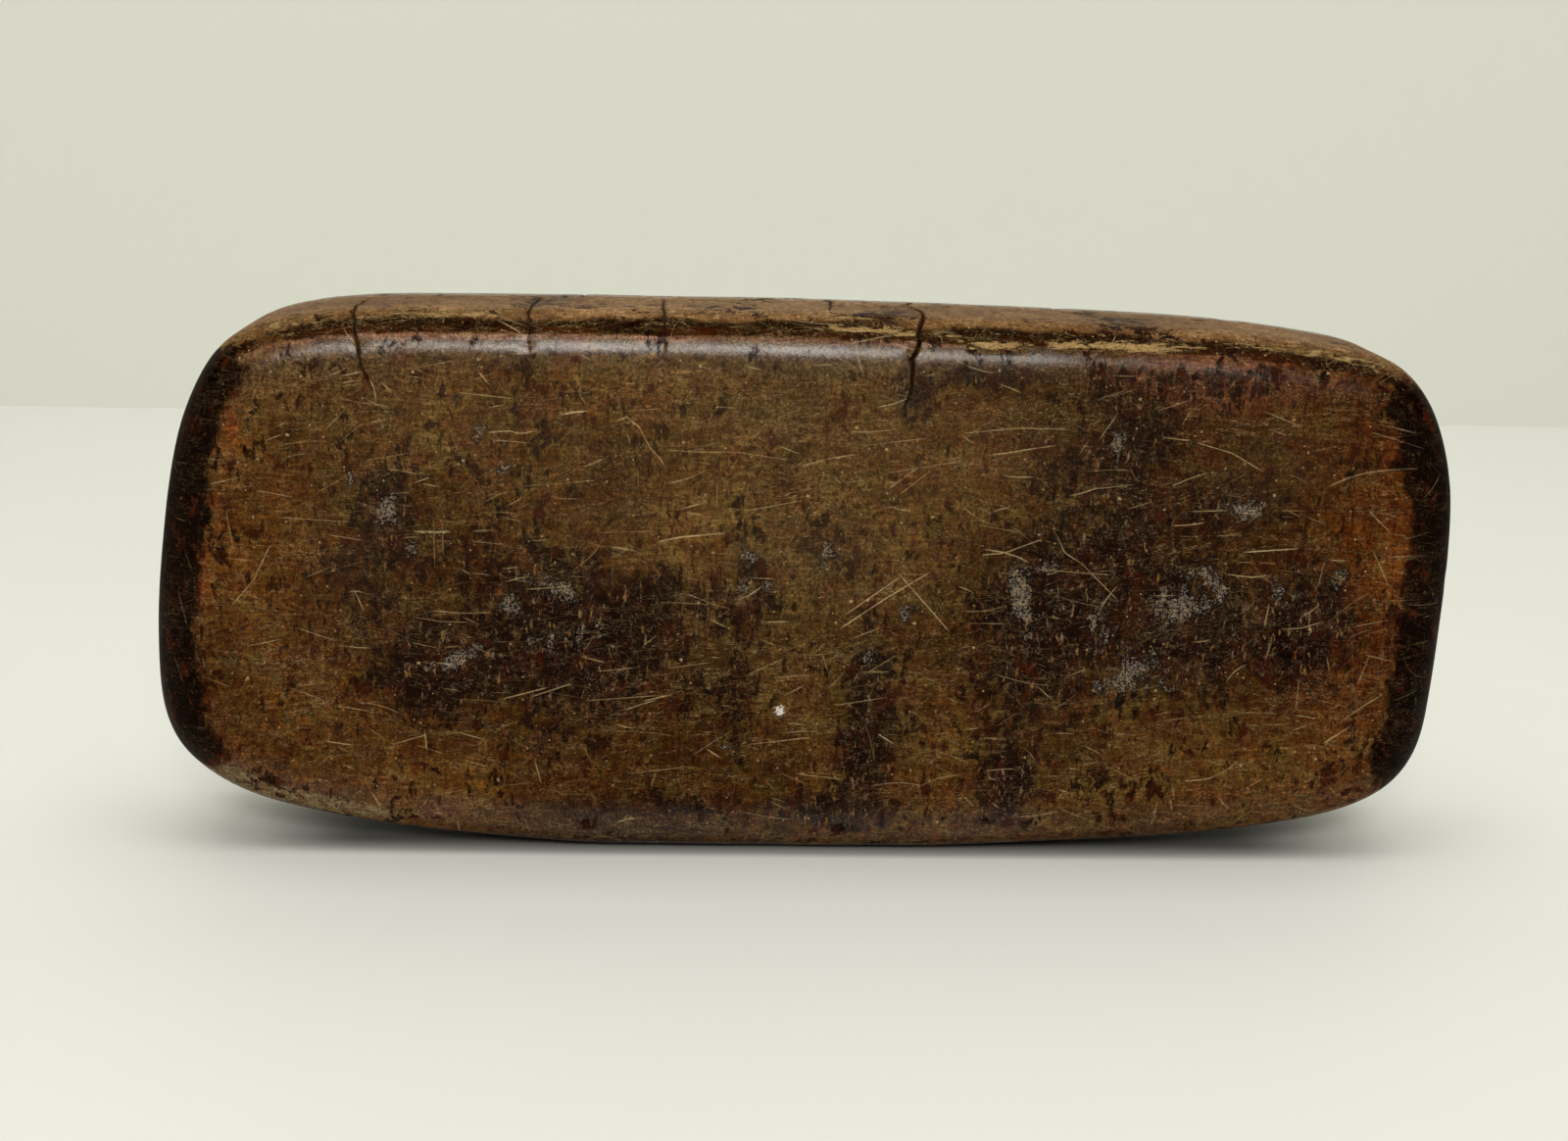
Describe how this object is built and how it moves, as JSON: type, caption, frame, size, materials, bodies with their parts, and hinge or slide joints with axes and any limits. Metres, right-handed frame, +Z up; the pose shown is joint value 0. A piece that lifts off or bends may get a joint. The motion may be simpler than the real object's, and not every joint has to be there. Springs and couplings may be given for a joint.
{
  "type": "wood edge slicker",
  "caption": "Hand-held block of dense dark hardwood with rounded shoulders and a rockered lower edge, rubbed along a leather edge to burnish it.",
  "frame": {"origin": "middle of the bounding box in X and Y, on the resting plane in Z", "axes": "+X along the length, +Y through the thickness between the broad faces, +Z up from the rockered lower edge"},
  "size_m": [0.17, 0.027, 0.0722],
  "materials": {
    "worn_hardwood": "dense dark hardwood, hand-polished and waxed by use, with stains, fine scratches and drying checks"
  },
  "bodies": {
    "root": {"slicker_block": "worn_hardwood"}
  },
  "joints": []
}
